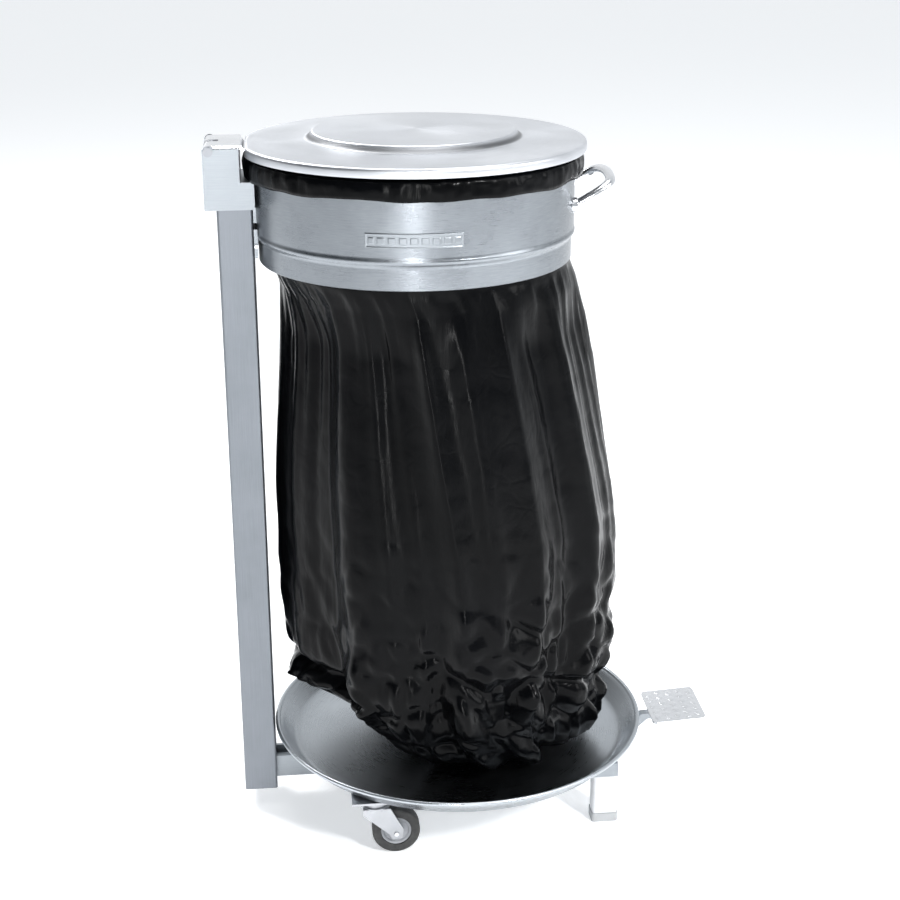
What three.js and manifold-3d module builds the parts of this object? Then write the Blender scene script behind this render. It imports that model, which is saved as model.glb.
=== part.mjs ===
// Pedal-operated waste-sack holder: wheeled base, column, collar with clamped sack, hinged lid.
// Millimetres, +Z up, floor at z = 0, pedal towards +X, column towards -X.
import * as THREE from 'three'
import { mergeVertices } from 'three/addons/utils/BufferGeometryUtils.js'
import Module from 'manifold-3d'

const wasm = await Module()
wasm.setup()

// Driving dimensions
const GAP = 0.3 // clearance between neighbouring pieces
const ROUND_SEGMENTS = 40
const SMALL_SEGMENTS = 20
const AXIS_X = -65 // axis of collar, ring and lid
const COLLAR_R = 190
const COLLAR_BOTTOM = 730
const COLLAR_TOP = 841
const SHEET = 1.2
const LID_R = 203.5
const TRAY_X = -15.8
const TRAY_R = 240.5
const TRAY_FLOOR = 84
const COLUMN = { x0: -299, x1: -257, halfY: 30, z0: 25, z1: 824, wall: 1.2 }
const HOUSING = { x0: -312, x1: -254, upperX1: -270, halfY: 45, z0: 797, step: 829, z1: 867.5, wall: 2 }
const PIN = { x: -305, z: 865, r: 4, knuckle: 6 } // lid hinge
const CAM = { arm: 18, drop: 26, sweep: THREE.MathUtils.degToRad(75) }
const ROD_X = PIN.x + CAM.arm
const ROD_R = 4
const PIVOT = { x: -45, z: 50, r: 4 } // pedal pivot
const LEVER = { halfY: 6, z0: 43, z1: 57, rear: -294 }
const RAIL = { x0: -297.5, x1: 178, y0: 12, y1: 17, z0: 35, z1: 65 }
const BAR = { z0: 65.3, z1: 83.7 }
const FOOT = { x: 163, y: 105, halfX: 16, halfY: 12 }
const CASTER = { x: -135, y: 150, trail: 25, r: 30, axleZ: 30, halfPlate: 30 }

const steel = new THREE.MeshStandardMaterial({ color: 0xb4b7ba, roughness: 0.34, metalness: 1 })
const paleSteel = new THREE.MeshStandardMaterial({ color: 0xcfd2d4, roughness: 0.3, metalness: 1 })
const darkSteel = new THREE.MeshStandardMaterial({ color: 0x6e7175, roughness: 0.4, metalness: 1 })
const film = new THREE.MeshStandardMaterial({ color: 0x0d0e10, roughness: 0.25, metalness: 0 })
const tyre = new THREE.MeshStandardMaterial({ color: 0x1b1c1e, roughness: 0.7, metalness: 0 })
const greyPlastic = new THREE.MeshStandardMaterial({ color: 0x8d9094, roughness: 0.5, metalness: 0 })
const rubber = new THREE.MeshStandardMaterial({ color: 0x9b9da0, roughness: 0.8, metalness: 0 })

const group = new THREE.Group()

function add (name, geometry, material) {
  const mesh = new THREE.Mesh(geometry, material)
  mesh.name = name
  group.add(mesh)
}

// Geometry helpers
function box (x0, x1, y0, y1, z0, z1) {
  const g = new THREE.BoxGeometry(x1 - x0, y1 - y0, z1 - z0)
  return g.translate((x0 + x1) / 2, (y0 + y1) / 2, (z0 + z1) / 2)
}

function lathe (profile, x = 0, y = 0, segments = ROUND_SEGMENTS) {
  const points = profile.map(([r, z]) => new THREE.Vector2(r, z))
  return new THREE.LatheGeometry(points, segments).rotateX(Math.PI / 2).translate(x, y, 0)
}

function outline (points) {
  return new THREE.Shape(points.map(([a, b]) => new THREE.Vector2(a, b)))
}

// Side outline in X and Z, extruded across Y.
function sidePlate (shape, y0, y1) {
  const g = new THREE.ExtrudeGeometry(shape, { depth: y1 - y0, bevelEnabled: false, curveSegments: 8 })
  return g.rotateX(Math.PI / 2).translate(0, y1, 0)
}

function roundedRect (x0, x1, y0, y1, r) {
  const s = new THREE.Shape()
  s.moveTo(x0 + r, y0)
  s.lineTo(x1 - r, y0)
  s.absarc(x1 - r, y0 + r, r, -Math.PI / 2, 0)
  s.lineTo(x1, y1 - r)
  s.absarc(x1 - r, y1 - r, r, 0, Math.PI / 2)
  s.lineTo(x0 + r, y1)
  s.absarc(x0 + r, y1 - r, r, Math.PI / 2, Math.PI)
  s.lineTo(x0, y0 + r)
  s.absarc(x0 + r, y0 + r, r, Math.PI, Math.PI * 1.5)
  return s
}

function prism (shape, z0, z1) {
  const g = new THREE.ExtrudeGeometry(shape, { depth: z1 - z0, bevelEnabled: false, curveSegments: 4 })
  return g.translate(0, 0, z0)
}

// Cylinder along Z, or along Y when lying across.
function disc (x, y, z0, z1, r, segments = SMALL_SEGMENTS) {
  const g = new THREE.CylinderGeometry(r, r, z1 - z0, segments)
  return g.rotateX(Math.PI / 2).translate(x, y, (z0 + z1) / 2)
}

function crossPin (x, z, r, y0, y1, segments = SMALL_SEGMENTS) {
  return new THREE.CylinderGeometry(r, r, y1 - y0, segments).translate(x, (y0 + y1) / 2, z)
}

function toSolid (geometry) {
  const plain = new THREE.BufferGeometry()
  plain.setAttribute('position', geometry.getAttribute('position').clone())
  if (geometry.index) plain.setIndex(geometry.index.clone())
  const welded = mergeVertices(plain, 1e-4)
  const corners = welded.index.array
  const kept = []
  for (let i = 0; i < corners.length; i += 3) {
    const [a, b, c] = [corners[i], corners[i + 1], corners[i + 2]]
    if (a !== b && b !== c && c !== a) kept.push(a, b, c)
  }
  const vertProperties = new Float32Array(welded.getAttribute('position').array)
  const mesh = new wasm.Mesh({ numProp: 3, vertProperties, triVerts: new Uint32Array(kept) })
  return new wasm.Manifold(mesh)
}

function toGeometry (solid) {
  const mesh = solid.getMesh()
  const indexed = new THREE.BufferGeometry()
  indexed.setAttribute('position', new THREE.BufferAttribute(new Float32Array(mesh.vertProperties), 3))
  indexed.setIndex(new THREE.BufferAttribute(new Uint32Array(mesh.triVerts), 1))
  const g = indexed.toNonIndexed()
  g.computeVertexNormals()
  return g
}

function cut (base, ...tools) {
  return toGeometry(tools.reduce((solid, tool) => solid.subtract(toSolid(tool)), toSolid(base)))
}

function join (first, ...rest) {
  return toGeometry(rest.reduce((solid, piece) => solid.add(toSolid(piece)), toSolid(first)))
}

function common (a, b) {
  return toGeometry(toSolid(a).intersect(toSolid(b)))
}

function sides () {
  return [['left', 1], ['right', -1]]
}

// Column and base frame
function column () {
  const c = COLUMN
  const outer = prism(roundedRect(c.x0, c.x1, -c.halfY, c.halfY, 3), c.z0, c.z1)
  const w = c.wall
  const inner = prism(roundedRect(c.x0 + w, c.x1 - w, w - c.halfY, c.halfY - w, 2), c.z0 - 5, c.z1 + 5)
  const leverSlot = box(c.x1 - 5, c.x1 + 5, -19, 19, c.z0 - 5, 92)
  add('column', cut(outer, inner, leverSlot), steel)
  add('column_foot_plug', prism(roundedRect(c.x0 + 1.5, c.x1 - 1.5, -28.5, 28.5, 3), c.z0, 32), greyPlastic)
}

function rails () {
  for (const [side, s] of sides()) {
    const y0 = s > 0 ? RAIL.y0 : -RAIL.y1
    const bar = box(RAIL.x0, RAIL.x1, y0, y0 + RAIL.y1 - RAIL.y0, RAIL.z0, RAIL.z1)
    const hole = crossPin(PIVOT.x, PIVOT.z, PIVOT.r + GAP, -30, 30)
    add('base_rail_' + side, cut(bar, hole), steel)
  }
  add('tray_crossbar_rear', box(-80, -50, -120, 120, BAR.z0, BAR.z1), steel)
  add('tray_crossbar_front', box(FOOT.x - 16, FOOT.x + 16, -117, 117, BAR.z0, BAR.z1), steel)
}

function feet () {
  const { x, halfX, halfY } = FOOT
  for (const [side, s] of sides()) {
    const y = s * FOOT.y
    const leg = prism(roundedRect(x - halfX, x + halfX, y - halfY, y + halfY, 4), 12, BAR.z0 - GAP)
    const pad = prism(roundedRect(x - halfX - 1, x + halfX + 1, y - halfY - 1, y + halfY + 1, 4), 0, 11.7)
    add('front_leg_' + side, leg, paleSteel)
    add('foot_pad_' + side, pad, rubber)
  }
}

function tray () {
  const z = TRAY_FLOOR
  const profile = [
    [0, z], [207, z], [218, z + 3], [232, z + 21], [235.5, z + 24], [239.5, z + 23],
    [TRAY_R, z + 26], [238.5, z + 28.5], [234.5, z + 28], [231, z + 24.5], [217, z + 5],
    [206.5, z + SHEET], [0, z + SHEET]
  ]
  add('tray', lathe(profile, TRAY_X), steel)
  const low = z + SHEET + GAP
  for (const [side, s] of sides()) {
    const head = lathe([[0, low], [6, low], [5.4, low + 1.8], [3, low + 2.8], [0, low + 3]], -65, s * 40, 12)
    add('tray_bolt_' + side, head, paleSteel)
  }
}

// Collar assembly
function collar () {
  const z = COLLAR_BOTTOM
  const profile = [
    [185.8, z], [187, z], [187, z + 26], [188.5, z + 29], [191, z + 32], [COLLAR_R, z + 37],
    [COLLAR_R, COLLAR_TOP], [COLLAR_R - SHEET, COLLAR_TOP], [COLLAR_R - SHEET, z + 37.5],
    [189.6, z + 32], [187.2, z + 29.3], [185.8, z + 26], [185.8, z]
  ]
  add('collar', lathe(profile, AXIS_X), steel)
  const rim = [
    [187.2, 795], [188.5, 795], [188.5, 841.6], [195.5, 843], [196.3, 845], [195.5, 847],
    [189, 846.5], [187.2, 844], [187.2, 795]
  ]
  add('sack_ring', lathe(rim, AXIS_X), darkSteel)
  const [r, rr, low, high] = [COLLAR_R + GAP, COLLAR_R + 1.5, 779, 796]
  const band = lathe([[r, low], [rr, low], [rr, high], [r, high], [r, low]], AXIS_X)
  add('badge_plate', common(band, box(AXIS_X - 71, AXIS_X + 39, -200, -150, 760, 800)), paleSteel)
}

function bracket (name, radius, halfY, z0, z1) {
  const clear = disc(AXIS_X, 0, z0 - 5, z1 + 5, radius + GAP, ROUND_SEGMENTS)
  add(name, cut(box(COLUMN.x1 + GAP, -240, -halfY, halfY, z0, z1), clear), steel)
}

function brackets () {
  bracket('collar_bracket_lower', COLLAR_R + 1, 36, 738, 772)
  bracket('collar_bracket_upper', COLLAR_R, 28, 778, 796)
  for (const [side, s] of sides()) {
    const [near, far] = [36 + GAP, 39.5]
    const head = s > 0 ? crossPin(-254.5, 752, 2.2, near, far, 12) : crossPin(-254.5, 752, 2.2, -far, -near, 12)
    add('bracket_bolt_' + side, head, paleSteel)
  }
}

function handle () {
  const half = [[125, 53, 797], [143, 53, 807], [156, 51, 815], [163.5, 41, 820], [166, 22, 822.5], [166.8, 0, 823.5]]
  const mirrored = half.slice(0, -1).reverse().map(([x, y, z]) => [x, -y, z])
  const path = new THREE.CatmullRomCurve3([...half, ...mirrored].map(p => new THREE.Vector3(...p)))
  const section = new THREE.Shape().absarc(0, 0, 6, 0, Math.PI * 2)
  const rod = new THREE.ExtrudeGeometry(section, { steps: 30, curveSegments: 6, extrudePath: path })
  add('handle', rod, paleSteel)
  const clear = disc(AXIS_X, 0, 740, 840, COLLAR_R + GAP, ROUND_SEGMENTS)
  const rodSpace = box(121.2, 180, -70, 70, 740, 840)
  for (const [side, s] of sides()) {
    const boss = new THREE.CylinderGeometry(9, 9, 24, SMALL_SEGMENTS).rotateZ(Math.PI / 2)
    boss.translate(122, s * 53, 795)
    add('handle_boss_' + side, cut(boss, clear, rodSpace), paleSteel)
  }
}

// Sack: centre offset and film radius by height
const SACK = [
  [728, -65, 184.6], [700, -55, 184], [650, -49, 188], [595, -43, 193.5], [540, -38.5, 198.5],
  [475, -33, 205], [410, -27, 211], [340, -24, 213.5], [270, -22, 215], [225, -21, 214],
  [190, -18, 208], [160, -13, 200], [130, 0, 182], [110, 14, 160], [97, 22, 136], [91, 25, 116]
]

function sackCentre (z) {
  if (z >= SACK[0][0]) return AXIS_X
  const i = SACK.findIndex(row => row[0] <= z)
  if (i < 0) return SACK[SACK.length - 1][1]
  const [z1, x1] = SACK[i]
  const [z0, x0] = SACK[i - 1]
  return x0 + (x1 - x0) * (z0 - z) / (z0 - z1)
}

function sack () {
  const t = 1.6
  const fold = [[197, 832], [199.5, 834], [199.5, 852], [197.5, 856], [190, 857], [186, 854], [184.9, 848]]
  const inside = [[184.9, 797], [183.4, 786], ...SACK.map(([z, , r]) => [r - t, z + (z < 130 ? 1.2 : 0)])]
  const outside = [...SACK.map(([z, , r]) => [r, z])].reverse()
  const seat = [[185.1, 786], [186.7, 794], [186.7, 845], [188.6, 848.6], [195.8, 849], [197, 846.5]]
  const profile = [...outside, ...seat, ...fold, ...inside]
  const low = SACK[SACK.length - 1][0]
  const closed = [[0, low], ...profile, [0, low + 1.7]]
  const g = lathe(closed)
  const position = g.getAttribute('position')
  for (let i = 0; i < position.count; i++) {
    position.setX(i, position.getX(i) + sackCentre(position.getZ(i)))
  }
  g.computeVertexNormals()
  add('waste_sack', g, film)
}

// Hinge housing on top of the column
function housing () {
  const h = HOUSING
  const w = h.wall
  const shell = outline([[h.x0, h.z0], [h.x1, h.z0], [h.x1, h.step], [h.upperX1, h.step], [h.upperX1, h.z1], [h.x0, h.z1]])
  const cavity = outline([
    [h.x0 + w, h.z0 + w], [h.x1 - w, h.z0 + w], [h.x1 - w, h.step - w],
    [h.upperX1 - w, h.step - w], [h.upperX1 - w, h.z1 + 9], [h.x0 + w, h.z1 + 9]
  ])
  const c = COLUMN
  const columnHole = box(c.x0 - GAP, c.x1 + GAP, -c.halfY - GAP, c.halfY + GAP, h.z0 - 5, h.z0 + 5)
  const rearSlot = box(h.x0 - 5, h.x0 + w + 1, w - h.halfY, h.halfY - w, 850, h.z1 + 9)
  const collarGap = box(h.x1 - 2.5, h.x1 + 5, w - h.halfY, h.halfY - w, h.z0 - 5, h.step + 5)
  const pinHole = crossPin(PIN.x, PIN.z, PIN.r + GAP, -60, 60)
  const folded = cut(
    sidePlate(shell, -h.halfY, h.halfY), sidePlate(cavity, w - h.halfY, h.halfY - w),
    columnHole, rearSlot, collarGap
  )
  const lug = (y0) => crossPin(PIN.x, PIN.z, PIN.knuckle + 0.5, y0, y0 + w)
  add('hinge_housing', cut(join(folded, lug(-h.halfY), lug(h.halfY - w)), pinHole), steel)
  const shank = crossPin(PIN.x, PIN.z, PIN.r, -47, 47)
  const nearHead = crossPin(PIN.x, PIN.z, PIN.r + 1.5, -47.8, -h.halfY - GAP)
  const farHead = crossPin(PIN.x, PIN.z, PIN.r + 1.5, h.halfY + GAP, 47.8)
  add('lid_hinge_pin', join(shank, nearHead, farHead), darkSteel)
}

// Lid, arm and cam turn together on the hinge pin
function lid () {
  const profile = [
    [0, 880], [119, 880], [122.5, 878.8], [126, 873], [129, 871.4], [196, 869.4], [200.5, 868.2],
    [LID_R, 865], [LID_R, 858], [LID_R - SHEET, 858], [LID_R - SHEET, 864.4], [200, 866.8],
    [195.5, 868.1], [128.5, 870.1], [125, 872.2], [121.6, 877.9], [118.6, 878.8], [0, 878.8]
  ].reverse()
  const armNotch = box(-280, -262.5, -43, 43, 850, 885)
  add('lid', cut(lathe(profile, AXIS_X), armNotch), paleSteel)
}

function lidArm () {
  const leaf = outline([
    [-304, 868], [-269.6, 868], [-266, 862.5], [-200, 862.5], [-200, 865.5], [-264.6, 865.5],
    [-268.2, 871], [-304, 871]
  ])
  const half = 40.5
  const camGap = 5.5
  const trims = [box(-268, -190, 30, 60, 850, 885), box(-268, -190, -60, -30, 850, 885)]
  const camSlot = box(-320, -294, -camGap, camGap, 850, 885)
  const knuckles = [
    crossPin(PIN.x, PIN.z, PIN.knuckle, -half, -camGap), crossPin(PIN.x, PIN.z, PIN.knuckle, camGap, half)
  ]
  const pinHole = crossPin(PIN.x, PIN.z, PIN.r + GAP, -60, 60)
  const plate = cut(sidePlate(leaf, -half, half), ...trims, camSlot)
  add('lid_arm', cut(join(plate, ...knuckles), pinHole), paleSteel)
  for (const [side, s] of sides()) {
    add('lid_spacer_' + side, disc(-215, s * 18, 865.8, 868.1, 6, 12), darkSteel)
  }
}

// Convex edge that keeps the lid angle proportional to the rod's rise.
function lidCam () {
  const edge = []
  for (let i = 0; i <= 8; i++) {
    const a = CAM.sweep * i / 8
    const h = CAM.arm * a - CAM.drop
    edge.push([
      PIN.x + CAM.arm * Math.cos(a) + h * Math.sin(a),
      PIN.z - CAM.arm * Math.sin(a) + h * Math.cos(a)
    ])
  }
  const front = [[PIN.x + 3, PIN.z + 2.5], [PIN.x + 17, PIN.z + 2.5]]
  const back = [[PIN.x + 0.7, PIN.z - 11.2], [PIN.x - 5.2, PIN.z - 5.6], [PIN.x - 6, PIN.z]]
  const web = sidePlate(outline([...front, ...edge, ...back]), -5, 5)
  const ring = crossPin(PIN.x, PIN.z, PIN.knuckle + 0.3, -5, 5)
  const pinHole = crossPin(PIN.x, PIN.z, PIN.r + GAP, -60, 60)
  add('lid_cam', cut(join(web, ring), pinHole), darkSteel)
}

// Push rod with end caps, in two guides inside the column
function pushRod () {
  const top = PIN.z - CAM.drop - GAP
  const bottom = LEVER.z1 + GAP
  add('push_rod', disc(ROD_X, 0, bottom + 8 + GAP, top - 6 - GAP, ROD_R, 16), paleSteel)
  add('push_rod_head', disc(ROD_X, 0, top - 6, top, 6.5, 16), greyPlastic)
  add('push_rod_foot', disc(ROD_X, 0, bottom, bottom + 8, 6.5, 16), greyPlastic)
  const c = COLUMN
  const hole = disc(ROD_X, 0, 0, 900, ROD_R + GAP, 16)
  const plate = roundedRect(c.x0 + 1.5, c.x1 - 1.5, -28.5, 28.5, 3)
  const guide = (z) => prism(plate, z, z + 3)
  add('rod_guide_lower', cut(guide(130), hole), greyPlastic)
  add('rod_guide_upper', cut(guide(786), hole), greyPlastic)
}

// Pedal lever under the tray, rising to the tread plate
function pedal () {
  const l = LEVER
  const side = outline([
    [l.rear, l.z0], [196, l.z0], [240, 84], [300, 87.6], [300, 95.6], [232, 91.6], [190, l.z1],
    [ROD_X, l.z1], [l.rear, l.z1 - 1.3]
  ])
  const pinHole = crossPin(PIVOT.x, PIVOT.z, PIVOT.r + GAP, -30, 30)
  add('pedal_lever', cut(sidePlate(side, -l.halfY, l.halfY), pinHole), steel)
  add('pedal_pivot_pin', crossPin(PIVOT.x, PIVOT.z, PIVOT.r, -20, 20), darkSteel)
  const tread = prism(roundedRect(-36, 36, -45, 45, 9), 0, 3)
  add('pedal_plate', tread.rotateY(-0.06).translate(276, 0, 98.2), paleSteel)
  const lip = box(-1.6, 0, -36, 36, -9, -GAP)
  add('pedal_lip', lip.rotateY(-0.06).translate(311.4, 0, 100.2), paleSteel)
}

// Swivel casters
function casters () {
  const c = CASTER
  for (const [side, s] of sides()) {
    const y = s * c.y
    const wheelX = c.x + c.trail
    add('caster_plate_' + side, box(c.x - c.halfPlate, c.x + c.halfPlate, y - c.halfPlate, y + c.halfPlate, 81, 83.7), darkSteel)
    add('caster_bearing_' + side, disc(c.x, y, 67.3, 80.7, 15), darkSteel)
    const cheek = outline([
      [c.x - 16, 66], [c.x + 18, 66], [wheelX + 9, 36], [wheelX + 7, 24], [wheelX - 5, 22],
      [wheelX - 9, 30], [c.x - 16, 58]
    ])
    const bridge = disc(c.x, y, 63, 67, 18)
    const saddle = box(c.x - 16, c.x + 15, y - 14, y + 14, 63, 66)
    const forkSides = [sidePlate(cheek, y - 16, y - 13.5), sidePlate(cheek, y + 13.5, y + 16)]
    const hole = crossPin(wheelX, c.axleZ, 3 + GAP, y - 30, y + 30, 12)
    add('caster_fork_' + side, cut(join(bridge, saddle, ...forkSides), hole), darkSteel)
    add('caster_axle_' + side, crossPin(wheelX, c.axleZ, 3, y - 18, y + 18, 12), paleSteel)
    const ring = [[19.3, -10], [28, -10], [c.r, -7.5], [c.r, 7.5], [28, 10], [19.3, 10], [19.3, -10]]
    const hub = [[3.4, -12], [8, -12], [9, -8], [19, -8], [19, 8], [9, 8], [8, 12], [3.4, 12], [3.4, -12]]
    const lay = (profile) => lathe(profile, 0, 0, 28).rotateX(Math.PI / 2).translate(wheelX, y, c.axleZ)
    add('caster_tyre_' + side, lay(ring), tyre)
    add('caster_hub_' + side, lay(hub), greyPlastic)
  }
}

column()
rails()
feet()
tray()
collar()
brackets()
handle()
sack()
housing()
lid()
lidArm()
lidCam()
pushRod()
pedal()
casters()

export default group
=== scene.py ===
"""A pedal-operated waste-sack holder on casters, on a pale floor under soft studio light."""

import math

import bmesh
import bpy
from mathutils import Euler, Matrix, Vector, noise


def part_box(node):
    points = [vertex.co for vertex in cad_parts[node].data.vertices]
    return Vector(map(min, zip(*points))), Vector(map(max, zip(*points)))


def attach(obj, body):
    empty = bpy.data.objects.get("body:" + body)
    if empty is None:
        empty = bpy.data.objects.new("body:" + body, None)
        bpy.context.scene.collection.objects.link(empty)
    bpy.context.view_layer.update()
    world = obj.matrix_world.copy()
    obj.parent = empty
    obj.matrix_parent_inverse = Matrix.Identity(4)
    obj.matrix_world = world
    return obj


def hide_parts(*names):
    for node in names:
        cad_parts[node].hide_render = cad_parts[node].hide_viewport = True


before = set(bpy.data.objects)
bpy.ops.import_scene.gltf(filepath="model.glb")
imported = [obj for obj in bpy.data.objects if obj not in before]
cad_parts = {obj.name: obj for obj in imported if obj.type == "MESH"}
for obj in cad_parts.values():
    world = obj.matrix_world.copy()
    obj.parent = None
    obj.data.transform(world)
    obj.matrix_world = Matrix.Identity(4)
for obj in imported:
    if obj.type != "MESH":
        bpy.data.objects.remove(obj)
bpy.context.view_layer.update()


def span(node, axis):
    """A CAD node's lowest and highest place along an axis, to a tenth of a millimetre."""
    low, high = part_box(node)
    return round(float(low[axis]), 4), round(float(high[axis]), 4)


def middle(node, axis):
    return round(sum(span(node, axis)) / 2, 4)


# Metres, +Z up, floor at z = 0, pedal towards +X.
AXIS_X = middle("collar", 0)  # the upright axis shared by lid, collar and sack ring
LID_SKIRT, LID_TOP = span("lid", 2)
# LID_STEP_R also places the painted shade line in the lid's colour.
LID_STEP_R = 0.1248  # where the lid's raised centre drops to its rim
COLLAR_FOOT, COLLAR_TOP = span("collar", 2)
COLLAR_R = 0.190
BADGE_LOW, BADGE_HIGH = span("badge_plate", 2)
TRAY_X = middle("tray", 0)
TRAY_FLOOR = span("tray", 2)[0]
PEDAL_CENTRE = (0.276, 0, 0.0982)
PEDAL_TILT = -0.06
FLOOR_HALF = 40


# ---------------------------------------------------------------- camera, floor and light


def add_camera():
    data = bpy.data.cameras.new("camera")
    data.lens = 68.6
    data.sensor_width = 36
    camera = bpy.data.objects.new("camera", data)
    bpy.context.scene.collection.objects.link(camera)
    pitch, yaw, roll = 0.3426, 0.1001, -0.0049
    turn = Euler((math.pi / 2 - pitch, 0, -yaw)).to_matrix() @ Matrix.Rotation(roll, 3, "Z")
    camera.matrix_world = Matrix.Translation((-0.227, -2.0202, 1.201)) @ turn.to_4x4()
    bpy.context.scene.camera = camera


def add_area(name, place, aim, size, power):
    data = bpy.data.lights.new(name, "AREA")
    data.shape = "RECTANGLE"
    data.size, data.size_y = size
    data.energy = power
    lamp = bpy.data.objects.new(name, data)
    lamp.location = place
    lamp.rotation_euler = (Vector(aim) - Vector(place)).to_track_quat("-Z", "Y").to_euler()
    bpy.context.scene.collection.objects.link(lamp)


def add_world():
    """A soft surround, brighter behind and dim on the column's side, so that metal shades."""
    world = bpy.data.worlds.new("studio")
    world.use_nodes = True
    nodes, links = world.node_tree.nodes, world.node_tree.links
    back = nodes["Background"]
    coords = nodes.new("ShaderNodeTexCoord")
    split = nodes.new("ShaderNodeSeparateXYZ")
    ramp = nodes.new("ShaderNodeValToRGB")
    shift = nodes.new("ShaderNodeMapRange")
    shift.inputs["From Min"].default_value = -1
    links.new(coords.outputs["Generated"], split.inputs[0])
    links.new(split.outputs["X"], shift.inputs["Value"])
    links.new(shift.outputs[0], ramp.inputs["Fac"])
    dim, bright = ramp.color_ramp.elements
    dim.position, dim.color = 0.1, (0.10, 0.115, 0.13, 1)
    bright.position, bright.color = 0.95, (0.52, 0.55, 0.58, 1)
    behind = nodes.new("ShaderNodeMapRange")
    behind.inputs["From Min"].default_value = -0.1
    behind.inputs["To Max"].default_value = 0.75
    total = nodes.new("ShaderNodeMix")
    total.data_type = "RGBA"
    total.blend_type = "ADD"
    total.inputs[0].default_value = 1.0
    links.new(split.outputs["Y"], behind.inputs["Value"])
    links.new(ramp.outputs["Color"], total.inputs[6])
    links.new(behind.outputs[0], total.inputs[7])
    links.new(total.outputs[2], back.inputs["Color"])
    back.inputs["Strength"].default_value = 0.9
    bpy.context.scene.world = world


def add_floor():
    mesh = bpy.data.meshes.new("floor")
    half = FLOOR_HALF
    corners = [(-half, -half, 0), (half, -half, 0), (half, half, 0), (-half, half, 0)]
    mesh.from_pydata(corners, [], [(0, 1, 2, 3)])
    floor = bpy.data.objects.new("floor", mesh)
    bpy.context.scene.collection.objects.link(floor)
    mat = bpy.data.materials.new("floor_white")
    mat.use_nodes = True
    shader = mat.node_tree.nodes["Principled BSDF"]
    shader.inputs["Base Color"].default_value = (0.93, 0.935, 0.94, 1)
    shader.inputs["Roughness"].default_value = 0.6
    shader.inputs["Emission Color"].default_value = (0.97, 0.985, 1.0, 1)
    shader.inputs["Emission Strength"].default_value = 0.40
    floor.data.materials.append(mat)


def add_studio():
    add_camera()
    add_world()
    add_floor()
    add_area("key_back_left", (-1.7, 1.7, 3.2), (0, 0, 0.3), (1.3, 1.3), 95)
    add_area("front_strip", (-0.42, -3.4, 1.2), (-0.05, 0, 0.6), (0.15, 2.2), 34)
    add_area("right_fill", (3.0, -1.3, 1.7), (0, 0, 0.5), (1.2, 2.0), 34)
    add_area("front_right", (1.5, -2.3, 2.1), (0.05, 0, 0.3), (0.34, 0.34), 70)
    add_area("top", (0.3, -0.2, 3.8), (0, 0, 0.5), (2.2, 2.2), 70)
    bpy.context.scene.view_settings.view_transform = "Standard"
    bpy.context.scene.view_settings.look = "None"


# ---------------------------------------------------------------- materials


class Nodes:
    """A material's node tree with short ways to add and link nodes."""

    def __init__(self, name):
        self.mat = bpy.data.materials.new(name)
        self.mat.use_nodes = True
        self.tree = self.mat.node_tree
        self.shader = self.tree.nodes["Principled BSDF"]
        self.place = self.tree.nodes.new("ShaderNodeTexCoord").outputs["Object"]

    def add(self, kind, **values):
        node = self.tree.nodes.new(kind)
        for key, value in values.items():
            setattr(node, key, value)
        return node

    def link(self, a, b):
        self.tree.links.new(a, b)

    def set(self, **values):
        for key, value in values.items():
            self.shader.inputs[key.replace("_", " ")].default_value = value

    def maths(self, operation, a, b=None):
        node = self.add("ShaderNodeMath", operation=operation)
        for socket, value in zip(node.inputs, (a, b)):
            if value is None:
                continue
            if isinstance(value, (int, float)):
                socket.default_value = value
            else:
                self.link(value, socket)
        return node.outputs[0]

    def mixed(self, a, share_a, b, share_b):
        """a times its share plus b times its share."""
        return self.maths("ADD", self.maths("MULTIPLY", a, share_a), self.maths("MULTIPLY", b, share_b))

    def stretched(self, scale, source=None):
        node = self.add("ShaderNodeMapping")
        node.inputs["Scale"].default_value = scale
        self.link(source or self.place, node.inputs["Vector"])
        return node.outputs[0]

    def around(self, x):
        """(radius, angle, height) about a vertical axis at x."""
        split = self.add("ShaderNodeSeparateXYZ")
        self.link(self.place, split.inputs[0])
        dx = self.maths("SUBTRACT", split.outputs["X"], x)
        dy = split.outputs["Y"]
        squares = self.mixed(dx, dx, dy, dy)
        joined = self.add("ShaderNodeCombineXYZ")
        self.link(self.maths("SQRT", squares), joined.inputs["X"])
        self.link(self.maths("ARCTAN2", dy, dx), joined.inputs["Y"])
        self.link(split.outputs["Z"], joined.inputs["Z"])
        return joined.outputs[0]

    def noise(self, vector, scale, detail=3, rough=0.55):
        node = self.add("ShaderNodeTexNoise")
        node.inputs["Scale"].default_value = scale
        node.inputs["Detail"].default_value = detail
        node.inputs["Roughness"].default_value = rough
        self.link(vector, node.inputs["Vector"])
        return node.outputs["Fac"]

    def spread(self, value, low, high, start=0.3, end=0.7, shape="LINEAR"):
        """The value's span from start to end, mapped to low to high."""
        node = self.add("ShaderNodeMapRange", interpolation_type=shape)
        ends = {"From Min": start, "From Max": end, "To Min": low, "To Max": high}
        for key, number in ends.items():
            node.inputs[key].default_value = number
        self.link(value, node.inputs["Value"])
        return node.outputs[0]

    def tint(self, value, dark, light):
        node = self.add("ShaderNodeValToRGB")
        first, last = node.color_ramp.elements
        first.position, first.color = 0.3, (*dark, 1)
        last.position, last.color = 0.7, (*light, 1)
        self.link(value, node.inputs["Fac"])
        self.link(node.outputs["Color"], self.shader.inputs["Base Color"])

    def bump(self, value, strength, distance):
        node = self.add("ShaderNodeBump")
        node.inputs["Strength"].default_value = strength
        node.inputs["Distance"].default_value = distance
        self.link(value, node.inputs["Height"])
        before = self.shader.inputs["Normal"]
        if before.is_linked:
            self.link(before.links[0].from_socket, node.inputs["Normal"])
        self.link(node.outputs[0], before)

    def rough(self, value):
        self.link(value, self.shader.inputs["Roughness"])


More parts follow.
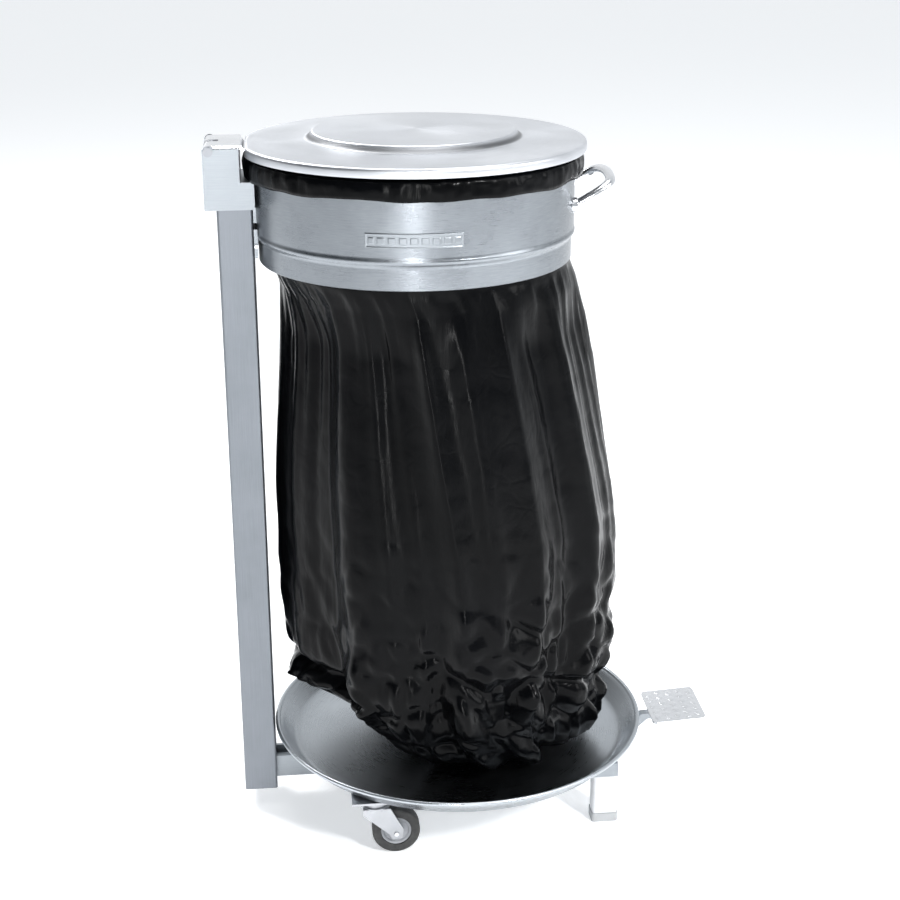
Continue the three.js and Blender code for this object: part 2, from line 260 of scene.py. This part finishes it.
def brushed_nodes(name, dark, light, rough, grain, axis=None, strength=0.12):
    """Brushed steel: fine lines along one direction, handling smudges and slight tint changes."""
    n = Nodes(name)
    n.set(Metallic=1.0, Anisotropic=0.45)
    source = n.around(axis) if axis is not None else n.place
    lines = n.noise(n.stretched(grain, source), 1.0, 4, 0.7)
    smudge = n.noise(n.place, 9.0, 4, 0.6)
    n.tint(n.mixed(lines, 0.45, smudge, 0.55), dark, light)
    n.rough(n.spread(n.mixed(lines, 0.35, smudge, 0.65), rough - 0.07, rough + 0.10))
    n.bump(lines, strength, 0.0004)
    return n


def brushed(*values):
    return brushed_nodes(*values).mat


def lid_with_painted_step_shade():
    """The lid's brushing, with a painted shade line: the colour is darkened where the raised centre meets the
    rim.
    """
    grain = (1100, 7, 900)
    n = brushed_nodes("lid_brushed_painted_step_shade", (0.50, 0.515, 0.54), (0.64, 0.655, 0.685), 0.36, grain, AXIS_X)
    split = n.add("ShaderNodeSeparateXYZ")
    n.link(n.around(AXIS_X), split.inputs[0])
    away = n.maths("ABSOLUTE", n.maths("SUBTRACT", split.outputs["X"], LID_STEP_R))
    # Painted shade: the brushed colour is multiplied down to 0.3 within a few millimetres of the step's
    # radius, standing in for the shade on the step.
    shade = n.add("ShaderNodeMix", data_type="RGBA", blend_type="MULTIPLY")
    shade.inputs[0].default_value = 1.0
    colour = n.shader.inputs["Base Color"]
    n.link(colour.links[0].from_socket, shade.inputs[6])
    n.link(n.spread(away, 0.30, 1.0, 0.0006, 0.0042, "SMOOTHSTEP"), shade.inputs[7])
    n.link(shade.outputs[2], colour)
    return n.mat


def moulded(name, colour, rough, metallic=0.0, grain=900, strength=0.15):
    """Plain moulded or plated surface with a fine texture and uneven gloss."""
    n = Nodes(name)
    n.set(Metallic=metallic)
    fine = n.noise(n.place, grain, 3)
    broad = n.noise(n.place, 22, 4)
    n.tint(broad, tuple(c * 0.82 for c in colour), tuple(c * 1.12 for c in colour))
    n.rough(n.spread(broad, rough - 0.06, rough + 0.09))
    n.bump(fine, strength, 0.0003)
    return n.mat


def film_material():
    """Thin glossy black film with fine drawn wrinkles and faint small creases."""
    n = Nodes("sack_film_black")
    n.set(IOR=1.45, Specular_IOR_Level=0.10)
    drawn = n.noise(n.stretched((55, 55, 7)), 1.0, 5, 0.6)
    crease = n.add("ShaderNodeTexVoronoi", feature="DISTANCE_TO_EDGE")
    crease.inputs["Scale"].default_value = 34
    wander = n.add("ShaderNodeTexNoise")
    wander.inputs["Scale"].default_value = 14
    n.link(n.place, wander.inputs["Vector"])
    warp = n.add("ShaderNodeMix", data_type="VECTOR")
    warp.inputs[0].default_value = 0.12
    n.link(n.stretched((1, 1, 0.45)), warp.inputs[4])
    n.link(wander.outputs["Color"], warp.inputs[5])
    n.link(warp.outputs[1], crease.inputs["Vector"])
    edge = n.spread(crease.outputs["Distance"], 0, 1, 0.0, 0.16)
    broad = n.noise(n.place, 6.0, 4)
    n.tint(broad, (0.0007, 0.0008, 0.0010), (0.0016, 0.0018, 0.0023))
    n.rough(n.spread(drawn, 0.15, 0.27))
    n.bump(drawn, 0.22, 0.003)
    n.bump(edge, 0.12, 0.0008)
    return n.mat


def tyre_material():
    n = Nodes("tyre_dark")
    scuffs = n.noise(n.place, 160, 4)
    n.tint(scuffs, (0.018, 0.018, 0.019), (0.06, 0.06, 0.058))
    n.rough(n.spread(scuffs, 0.55, 0.85))
    n.bump(scuffs, 0.25, 0.0005)
    return n.mat


def make_materials():
    upright, around, lengthways, even = (1400, 1400, 14), (900, 9, 1300), (25, 1400, 1400), (300, 300, 300)
    return {
        "column": brushed("column_brushed", (0.15, 0.165, 0.18), (0.235, 0.25, 0.275), 0.34, upright),
        "collar": brushed("collar_brushed", (0.20, 0.215, 0.235), (0.35, 0.375, 0.40), 0.27, around, AXIS_X),
        "lid": lid_with_painted_step_shade(),
        "tray": brushed("tray_brushed", (0.36, 0.385, 0.41), (0.50, 0.53, 0.56), 0.27, (700, 6, 700), TRAY_X),
        "sheet": brushed("sheet_brushed", (0.26, 0.28, 0.30), (0.36, 0.385, 0.41), 0.36, lengthways),
        "bright": brushed("bright_steel", (0.66, 0.67, 0.69), (0.83, 0.84, 0.86), 0.24, even, None, 0.05),
        "dark": moulded("plated_dark", (0.30, 0.31, 0.33), 0.42, 1.0, 700, 0.1),
        "hardware": moulded("plated_grey", (0.45, 0.46, 0.48), 0.38, 1.0, 700, 0.1),
        "leg": moulded("leg_pale", (0.66, 0.67, 0.69), 0.42, 0.0, 500, 0.1),
        "plastic": moulded("grey_moulded", (0.30, 0.31, 0.33), 0.5),
        "pad": moulded("pad_rubber", (0.42, 0.43, 0.44), 0.75),
        "tyre": tyre_material(),
        "film": film_material(),
    }


# ---------------------------------------------------------------- mesh helpers


def make_piece(name, verts, faces, material, smooth_angle=35):
    mesh = bpy.data.meshes.new(name)
    bm = bmesh.new()
    made = [bm.verts.new(v) for v in verts]
    for face in faces:
        bm.faces.new([made[i] for i in face])
    bmesh.ops.remove_doubles(bm, verts=bm.verts, dist=1e-6)
    bmesh.ops.recalc_face_normals(bm, faces=bm.faces)
    limit = math.radians(smooth_angle)
    for face in bm.faces:
        face.smooth = True
    for edge in bm.edges:
        if len(edge.link_faces) == 2 and edge.calc_face_angle() > limit:
            edge.smooth = False
    bm.to_mesh(mesh)
    bm.free()
    mesh.materials.append(material)
    obj = bpy.data.objects.new(name, mesh)
    bpy.context.scene.collection.objects.link(obj)
    return obj


def revolve(name, profile, centre, material, segments, across=False):
    """A closed profile turned about a vertical axis, or about a Y axis when lying across."""
    verts, faces = [], []
    count = len(profile)
    for i in range(segments):
        a = 2 * math.pi * i / segments
        for r, h in profile:
            if across:
                verts.append((centre[0] + r * math.cos(a), centre[1] + h, centre[2] + r * math.sin(a)))
            else:
                verts.append((centre[0] + r * math.cos(a), centre[1] + r * math.sin(a), centre[2] + h))
    for i in range(segments):
        j = (i + 1) % segments
        for k in range(count - 1):
            quad = (i * count + k, j * count + k, j * count + k + 1, i * count + k + 1)
            flat_low, flat_high = profile[k][0] < 1e-9, profile[k + 1][0] < 1e-9
            if flat_low and flat_high:
                continue
            if flat_low:
                quad = (i * count + k, j * count + k + 1, i * count + k + 1)
            elif flat_high:
                quad = (i * count + k, j * count + k, i * count + k + 1)
            faces.append(quad)
    return make_piece(name, verts, faces, material)


def stand_for(obj, body, *nodes):
    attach(obj, body)
    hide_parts(*nodes)


# ---------------------------------------------------------------- sheet-metal rounds


def arc(cx, cz, r, start, end, steps):
    """Points on a circle's arc in a profile, with the angles in degrees."""
    turn = [math.radians(start + (end - start) * i / steps) for i in range(steps + 1)]
    return [(cx + r * math.cos(a), cz + r * math.sin(a)) for a in turn]


def add_lid(mats):
    top, skin, skirt = LID_TOP, 0.0012, LID_SKIRT
    cut_x, cut_half = -0.2625, 0.043  # the rim is cut straight in front of the hinge
    outer = [(0, top), (0.060, top), (0.1185, top)]
    outer += arc(0.1185, top - 0.003, 0.003, 80, 20, 4)
    outer += [(0.1252, 0.8735), (0.1268, 0.8722), (0.1300, 0.8714), (0.165, 0.8703), (0.196, 0.8694)]
    outer += arc(0.1993, 0.8650, 0.0042, 75, 0, 6)
    outer += [(0.2035, 0.8585), (0.2033, skirt)]
    inner = [(0.2025, skirt), (0.2023, 0.8644), (0.2000, 0.8668), (0.1955, 0.8681), (0.1285, 0.8701)]
    inner += [(0.1250, 0.8722), (0.1216, 0.8779), (0.1186, top - skin), (0, top - skin)]
    lid = revolve("lid_shell", outer + inner, (AXIS_X, 0, 0), mats["lid"], 256)
    for v in lid.data.vertices:
        if abs(v.co.y) < cut_half:
            v.co.x = max(v.co.x, cut_x)
    stand_for(lid, "lid", "lid")


def add_collar(mats):
    z, top = COLLAR_FOOT, COLLAR_TOP
    outer = [(0.1862, z), (0.187, z + 0.0008), (0.187, z + 0.002), (0.187, z + 0.0245), (0.187, z + 0.0262)]
    outer += [(0.1876, z + 0.0272), (0.1885, z + 0.0288), (0.1900, z + 0.0302), (0.1908, z + 0.0318)]
    outer += [(0.1910, z + 0.0335), (0.1906, z + 0.0352), (0.190, z + 0.0368), (0.190, z + 0.039)]
    outer += [(0.190, 0.838), (0.190, 0.8403), (0.1897, top)]
    inner = [(0.189, top), (0.1888, 0.840), (0.1888, z + 0.0375), (0.1896, z + 0.032)]
    inner += [(0.1872, z + 0.0293), (0.1858, z + 0.026), (0.1858, z + 0.0008), (0.1862, z)]
    band = revolve("collar_band", outer + inner, (AXIS_X, 0, 0), mats["collar"], 256)
    stand_for(band, "stand", "collar")
    rim = [(0.1872, 0.795), (0.1885, 0.795), (0.1885, 0.8412), (0.1892, 0.8416), (0.1955, 0.843)]
    rim += arc(0.1948, 0.845, 0.0016, -60, 70, 5)
    rim += [(0.189, 0.8465), (0.1872, 0.844), (0.1872, 0.795)]
    ring = revolve("sack_ring_rolled", rim, (AXIS_X, 0, 0), mats["dark"], 192)
    stand_for(ring, "stand", "sack_ring")


def add_tray(mats):
    z = TRAY_FLOOR
    under = [(0, z), (0.195, z), (0.207, z + 0.0004), (0.213, z + 0.0013), (0.218, z + 0.0035)]
    under += [(0.231, z + 0.0195), (0.2345, z + 0.0225)]
    roll = arc(0.2375, z + 0.0258, 0.003, -110, 170, 12)
    top = [(0.2335, z + 0.0255), (0.230, z + 0.0222), (0.2172, z + 0.0055), (0.2125, z + 0.0026)]
    top += [(0.2065, z + 0.0013), (0.195, z + 0.0012), (0, z + 0.0012)]
    tray = revolve("tray_dish", under + roll + top, (TRAY_X, 0, 0), mats["tray"], 256)
    stand_for(tray, "stand", "tray")


# ---------------------------------------------------------------- sack


# Height, centre and radius of the hanging film, from the collar down to the tray.
SACK = [
    (0.728, -0.0650, 0.1842), (0.700, -0.0550, 0.1840), (0.650, -0.0490, 0.1880), (0.595, -0.0430, 0.1935),
    (0.540, -0.0385, 0.1985), (0.475, -0.0330, 0.2050), (0.410, -0.0280, 0.2105), (0.340, -0.0265, 0.2120),
    (0.270, -0.0260, 0.2120), (0.225, -0.0260, 0.2090), (0.190, -0.0245, 0.2020), (0.160, -0.0190, 0.1930),
    (0.130, -0.0040, 0.1790), (0.110, 0.0090, 0.1580), (0.098, 0.0160, 0.1360), (0.091, 0.0200, 0.1120),
]
# Height and radius of the cuff, from its outer edge over the rim and down inside the collar.
CUFF = [
    (0.8320, 0.1992), (0.8400, 0.1996), (0.8490, 0.1993), (0.8540, 0.1978), (0.8562, 0.1940),
    (0.8562, 0.1895), (0.8540, 0.1862), (0.8480, 0.1850), (0.8200, 0.1848), (0.7900, 0.1846),
    (0.7500, 0.1843),
]
CUFF_END = 0.075  # length of film from the cuff's outer edge to where it lies inside the collar
OUTSIDE_END = 0.026  # length of film outside the rim
HANG_TOP = 0.729  # height at which the film leaves the collar
FILM_FLOOR = 0.0905  # height of the film that lies in the tray
FILM_LOWEST = 0.0892
FRONT_RIGHT = math.radians(-62)  # the side on which the film is crushed most
FACET_MEAN = 0.34  # taken off crumple(), so that creases go in as much as out
TUCK_Z, CORNER_Z = 0.222, 0.150  # heights of the tuck and the lower corner on the column's side


def smoothstep(low, high, value):
    t = min(1.0, max(0.0, (value - low) / (high - low)))
    return t * t * (3 - 2 * t)


def ridge(p):
    """Sharp crest noise between 0 and 1."""
    return 1.0 - min(1.0, abs(noise.noise(p)) * 2.0)


def crumple(p):
    """Flat facets with sharp valleys between them, like pressed film."""
    distances = noise.voronoi(p)[0]
    return min(0.45, distances[1] - distances[0])


def sack_rows():
    """(height, centre x, radius) down the film, evenly spaced along its length."""
    path = [(z, AXIS_X, r) for z, r in CUFF] + SACK
    path += [(FILM_FLOOR, 0.027, r) for r in (0.09, 0.055, 0.02)]
    steps = [0.0]
    for a, b in zip(path, path[1:]):
        steps.append(steps[-1] + math.hypot(b[0] - a[0], b[2] - a[2]))
    rows, total, k = [], steps[-1], 0
    count = 250
    for i in range(count + 1):
        s = total * i / count
        while k < len(path) - 2 and steps[k + 1] < s:
            k += 1
        t = (s - steps[k]) / (steps[k + 1] - steps[k])
        rows.append(tuple(a + (b - a) * t for a, b in zip(path[k], path[k + 1])) + (s,))
    return rows


def cuff_point(row, a):
    """The cuff over the ring's rim, pleated and crinkled outside and smoother inside."""
    z, cx, r, s = row
    ca, sa = math.cos(a), math.sin(a)
    ring = Vector((ca, sa, 0))
    grip = smoothstep(0.0, 0.012, s) * smoothstep(CUFF_END, 0.045, s)
    pleat = ridge(ring * 9 + Vector((0, 0, z * 14))) + 0.6 * ridge(ring * 23 + Vector((0, 0, z * 40)))
    edge = smoothstep(0.02, 0.0, s)
    specks = 0.0030 * (crumple(Vector((ca * 0.2, sa * 0.2, z * 0.8)) * 62) - 0.2)
    if s < OUTSIDE_END:
        r += 0.0016 * (pleat - 0.5) * (0.35 + 0.65 * grip) + specks * grip
    else:
        r += 0.0006 * (pleat - 0.8)
    r += 0.0018 * smoothstep(0.92, 1.0, -ca) * (s < 0.03)
    z += edge * 0.0035 * noise.noise(ring * 5 + Vector((3, 0, 0)))
    return Vector((cx + r * ca, r * sa, z))


def hanging_point(row, a):
    z, cx, r, _ = row
    ca, sa = math.cos(a), math.sin(a)
    free = smoothstep(HANG_TOP, 0.64, z)
    low = smoothstep(0.46, 0.18, z)
    high = smoothstep(0.45, 0.70, z)
    floor_fade = smoothstep(FILM_FLOOR, 0.102, z)
    # long folds that hang from the collar
    drift = 0.13 * noise.noise(Vector((ca * 0.8, sa * 0.8, z * 1.6)))
    turn = a + drift
    hang = Vector((math.cos(turn), math.sin(turn), 0))
    folds = ridge(hang * 1.9 + Vector((0, 0, z * 0.6 + 4))) - 0.80
    narrow = ridge(hang * 4.6 + Vector((5, 0, z * 0.8))) - 0.75
    pleats = ridge(hang * 9.5 + Vector((0, 7, z))) - 0.65
    r += free * (0.026 * folds + 0.0050 * narrow)
    r += smoothstep(HANG_TOP, 0.715, z) * high * 0.0030 * pleats
    # crushed film near the tray, strongest on the front right
    towards = 0.5 + 0.5 * math.cos(a - FRONT_RIGHT)
    p = Vector((ca * 0.21, sa * 0.21, z * 0.75))
    q = p * 9
    p += Vector([noise.noise(q + Vector(k)) for k in ((0, 0, 0), (9, 0, 0), (0, 9, 0))]) * 0.022
    amount = 0.04 * free + low * (0.15 + 0.85 * towards ** 2)
    creases = 0.036 * (crumple(p * 11) - FACET_MEAN)
    creases += 0.024 * (crumple(p * 27 + Vector((2, 1, 0))) - FACET_MEAN)
    r += amount * creases * floor_fade
    x, y = cx + r * ca, r * sa
    # the column's side: drawn in under the collar, a sharp tuck, and the lower corner below it
    left = max(0.0, -ca)
    x += 0.012 * left * smoothstep(0.80, 0.735, z) * high
    tuck = math.exp(-(((z - TUCK_Z - 0.02 * sa) / 0.011) ** 2))
    x += 0.024 * tuck * smoothstep(0.35, 0.9, left)
    corner = math.exp(-(((z - CORNER_Z) / 0.035) ** 2)) * smoothstep(0.75, 1.0, left)
    x -= 0.026 * corner
    y *= 1 - 0.30 * corner
    # the seam rises from the tray towards that corner
    rise = smoothstep(-0.040, -0.235, x)
    z += 0.062 * rise * smoothstep(0.21, 0.095, z)
    return Vector((x, y, z))


def sack_point(row, a):
    return cuff_point(row, a) if row[3] < CUFF_END else hanging_point(row, a)


def add_sack(mats):
    around = 300
    rows = sack_rows()
    verts = [sack_point(row, 2 * math.pi * i / around) for row in rows for i in range(around)]
    faces = []
    for k in range(len(rows) - 1):
        for i in range(around):
            j = (i + 1) % around
            upper, lower = k * around, (k + 1) * around
            faces.append((upper + i, upper + j, lower + j, lower + i))
    last = (len(rows) - 1) * around
    faces.append(tuple(last + i for i in range(around)))
    for v in verts:
        v.z = max(v.z, FILM_LOWEST)
    sack = make_piece("sack_film", verts, faces, mats["film"], 75)
    film = sack.modifiers.new("film", "SOLIDIFY")
    film.thickness = 0.0004
    film.offset = 0
    stand_for(sack, "stand", "waste_sack")


# ---------------------------------------------------------------- badge, handle, pedal and casters


def add_badge(mats):
    """Blank curved plate with a raised rim and a row of plain pressed bars."""
    low, high, wide, columns, rows = BADGE_LOW, BADGE_HIGH, 0.110, 220, 34
    middle = -math.pi / 2 - 0.0845  # a little towards the column from straight ahead
    verts, faces = [], []
    for i in range(columns + 1):
        for j in range(rows + 1):
            u, v = i / columns, j / rows
            edge_u, edge_v = min(u, 1 - u) * wide, min(v, 1 - v) * (high - low)
            near = min(edge_u, edge_v)
            rim = smoothstep(0.0002, 0.0006, near) * smoothstep(0.0021, 0.0016, near)
            bar = abs((u * 9) % 1 - 0.5)
            pressed = smoothstep(0.36, 0.30, bar) * smoothstep(0.0045, 0.0056, edge_v) * (edge_u > 0.004)
            r = 0.1908 + 0.0006 * rim + 0.0007 * pressed - 0.0006 * smoothstep(0.0005, 0.0, near)
            a = middle + (u - 0.5) * wide / COLLAR_R
            verts.append((AXIS_X + r * math.cos(a), r * math.sin(a), low + (high - low) * v))
    for i in range(columns):
        for j in range(rows):
            a = i * (rows + 1) + j
            faces.append((a, a + rows + 1, a + rows + 2, a + 1))
    plate = make_piece("badge_blank", verts, faces, mats["sheet"], 60)
    depth = plate.modifiers.new("depth", "SOLIDIFY")
    depth.thickness = 0.0005
    depth.offset = -1
    stand_for(plate, "stand", "badge_plate")


def add_handle(mats):
    half = [(0.1185, 0.053, 0.7935), (0.125, 0.053, 0.797), (0.143, 0.053, 0.807), (0.156, 0.051, 0.815)]
    half += [(0.1635, 0.041, 0.820), (0.166, 0.022, 0.8225), (0.1668, 0, 0.8235)]
    points = half + [(x, -y, z) for x, y, z in reversed(half[:-1])]
    data = bpy.data.curves.new("handle_rod", "CURVE")
    data.dimensions = "3D"
    data.bevel_depth = 0.006
    data.bevel_resolution = 8
    data.resolution_u = 10
    data.use_fill_caps = True
    spline = data.splines.new("NURBS")
    spline.points.add(len(points) - 1)
    for spot, co in zip(spline.points, points):
        spot.co = (*co, 1)
    spline.use_endpoint_u = True
    spline.order_u = 3
    rod = bpy.data.objects.new("handle_rod", data)
    bpy.context.scene.collection.objects.link(rod)
    data.materials.append(mats["bright"])
    stand_for(rod, "stand", "handle")


def add_pedal(mats):
    """Tread plate with a turned edge and rows of pressed lozenges."""
    verts, faces = [], []
    nx, ny = 72, 90
    half_x, half_y, corner = 0.036, 0.045, 0.009
    for side, height in (("top", 0.003), ("under", 0.0)):
        for i in range(nx + 1):
            for j in range(ny + 1):
                x = -half_x + 2 * half_x * i / nx
                y = -half_y + 2 * half_y * j / ny
                over_x, over_y = abs(x) - (half_x - corner), abs(y) - (half_y - corner)
                if over_x > 0 and over_y > 0:
                    size = max(over_x, over_y) / math.hypot(over_x, over_y)
                    x = math.copysign(half_x - corner + over_x * size, x)
                    y = math.copysign(half_y - corner + over_y * size, y)
                u = x / 0.014
                row = round(u)
                v = y / 0.015 + 0.5 * (row % 2)
                du, dv = u - row, v - round(v)
                pip = smoothstep(0.42, 0.24, abs(du) + abs(dv) * 0.7)
                edge = max(abs(x) / half_x, abs(y) / half_y)
                lift = 0.0009 * pip * (edge < 0.84)
                drop = 0.0008 * smoothstep(0.965, 1.0, edge) * (1 if side == "top" else 0)
                verts.append((x, y, height + lift - drop))
    stride, layer = ny + 1, (nx + 1) * (ny + 1)
    for k in (0, layer):
        for i in range(nx):
            for j in range(ny):
                a = k + i * stride + j
                faces.append((a, a + stride, a + stride + 1, a + 1))
    rim = [i * stride for i in range(nx + 1)] + [nx * stride + j for j in range(1, ny + 1)]
    rim += [i * stride + ny for i in range(nx - 1, -1, -1)] + list(range(ny - 1, 0, -1))
    for a, b in zip(rim, rim[1:] + rim[:1]):
        faces.append((a, b, b + layer, a + layer))
    tilt = Matrix.Translation(PEDAL_CENTRE) @ Matrix.Rotation(PEDAL_TILT, 4, "Y")
    plate = make_piece("pedal_tread", [tilt @ Vector(v) for v in verts], faces, mats["bright"], 50)
    stand_for(plate, "pedal", "pedal_plate")


def add_casters(mats):
    tyre = [(0.0193, -0.0098), (0.0265, -0.0100)] + arc(0.0270, -0.0070, 0.0030, -80, 0, 5)
    tyre += arc(0.0270, 0.0070, 0.0030, 0, 80, 5) + [(0.0265, 0.0100), (0.0193, 0.0098), (0.0193, -0.0098)]
    hub = [(0.0034, -0.0120), (0.0070, -0.0120), (0.0080, -0.0112), (0.0088, -0.0068), (0.0150, -0.0058)]
    hub += [(0.0165, -0.0076), (0.0188, -0.0082), (0.0190, -0.0078)]
    hub += [(r, -h) for r, h in reversed(hub)] + [hub[0]]
    for side in ("left", "right"):
        centre = [middle("caster_tyre_" + side, axis) for axis in range(3)]
        body = "caster_wheel_" + side
        rubber = revolve("wheel_tyre_" + side, tyre, centre, mats["tyre"], 96, True)
        stand_for(rubber, body, "caster_tyre_" + side)
        core = revolve("wheel_hub_" + side, hub, centre, mats["plastic"], 96, True)
        stand_for(core, body, "caster_hub_" + side)


# ---------------------------------------------------------------- CAD pieces that stay


CAD_FINISH = {
    "column": "column", "column_foot_plug": "plastic", "hinge_housing": "sheet", "lid_arm": "bright",
    "lid_cam": "dark", "lid_hinge_pin": "dark", "pedal_lever": "sheet",
    "pedal_lip": "bright", "pedal_pivot_pin": "hardware", "push_rod": "bright",
}
CAD_PREFIX = [
    ("base_rail", "sheet"), ("tray_crossbar", "sheet"), ("front_leg", "leg"), ("foot_pad", "pad"),
    ("tray_bolt", "bright"), ("collar_bracket", "sheet"), ("bracket_bolt", "bright"),
    ("handle_boss", "bright"), ("lid_spacer", "dark"), ("push_rod_", "plastic"), ("rod_guide", "plastic"),
    ("caster_axle", "bright"), ("caster_", "hardware"),
]


def finish_cad(mats):
    for name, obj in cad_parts.items():
        by_start = (k for start, k in CAD_PREFIX if name.startswith(start))
        key = CAD_FINISH.get(name) or next(by_start, "sheet")
        for slot in obj.material_slots:
            slot.material = mats[key]
        edge = obj.modifiers.new("edge", "BEVEL")
        edge.width = 0.0006
        edge.segments = 3
        edge.limit_method = "ANGLE"
        edge.angle_limit = math.radians(40)


def main():
    add_studio()
    mats = make_materials()
    finish_cad(mats)
    for add in (add_lid, add_collar, add_tray, add_sack, add_badge, add_handle, add_pedal, add_casters):
        add(mats)


main()
